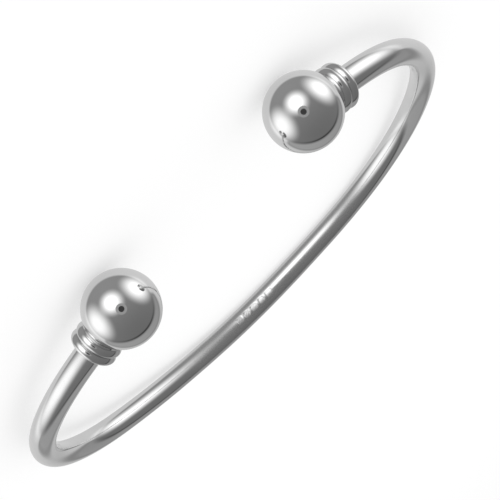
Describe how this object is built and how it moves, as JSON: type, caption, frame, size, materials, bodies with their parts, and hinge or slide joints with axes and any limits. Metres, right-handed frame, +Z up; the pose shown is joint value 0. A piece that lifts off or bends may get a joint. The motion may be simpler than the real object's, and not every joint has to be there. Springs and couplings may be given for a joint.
{
  "type": "torque bangle",
  "caption": "Open oval torque bangle of round wire, each end finished with a doubled ring collar and a polished ball; lies on its side.",
  "frame": {"origin": "below the middle of the bangle's outline, on the surface that it lies on", "axes": "+Z up from that surface; the gap between the balls faces -Y; +X runs from the left ball to the right ball, along the bangle's width"},
  "size_m": [0.0708, 0.058, 0.009],
  "materials": {
    "wire_silver": "high polish sterling silver with fine draw lines and hairline wear",
    "collar_silver": "high polish sterling silver, darker in the grooves",
    "ball_silver": "mirror polish sterling silver"
  },
  "bodies": {
    "root": {"hoop": "wire_silver", "collar_left": "collar_silver", "collar_right": "collar_silver", "ball_left": "ball_silver", "ball_right": "ball_silver"}
  },
  "joints": []
}
